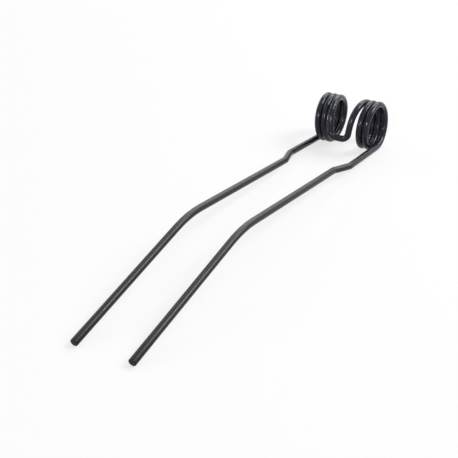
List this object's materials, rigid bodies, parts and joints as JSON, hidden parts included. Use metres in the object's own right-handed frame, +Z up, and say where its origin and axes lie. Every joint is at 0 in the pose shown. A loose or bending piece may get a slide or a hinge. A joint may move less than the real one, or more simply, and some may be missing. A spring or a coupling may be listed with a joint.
{
  "type": "hay rake tine",
  "caption": "Spring tine bent from round wire: side-by-side coils of opposite hand joined by a bolt-on loop, with long jogged fingers that bend down towards their tips.",
  "frame": {"origin": "on the common axis of the two coils, midway between them", "axes": "+X along the coil axis, -Y along the fingers from the coils to the tips, +Z up with the tine lying on its coils and finger tips"},
  "size_m": [0.0874, 0.5647, 0.0624],
  "materials": {
    "painted_wire": "satin black paint over drawn spring wire"
  },
  "bodies": {
    "root": {"spring_tine": "painted_wire"}
  },
  "joints": []
}
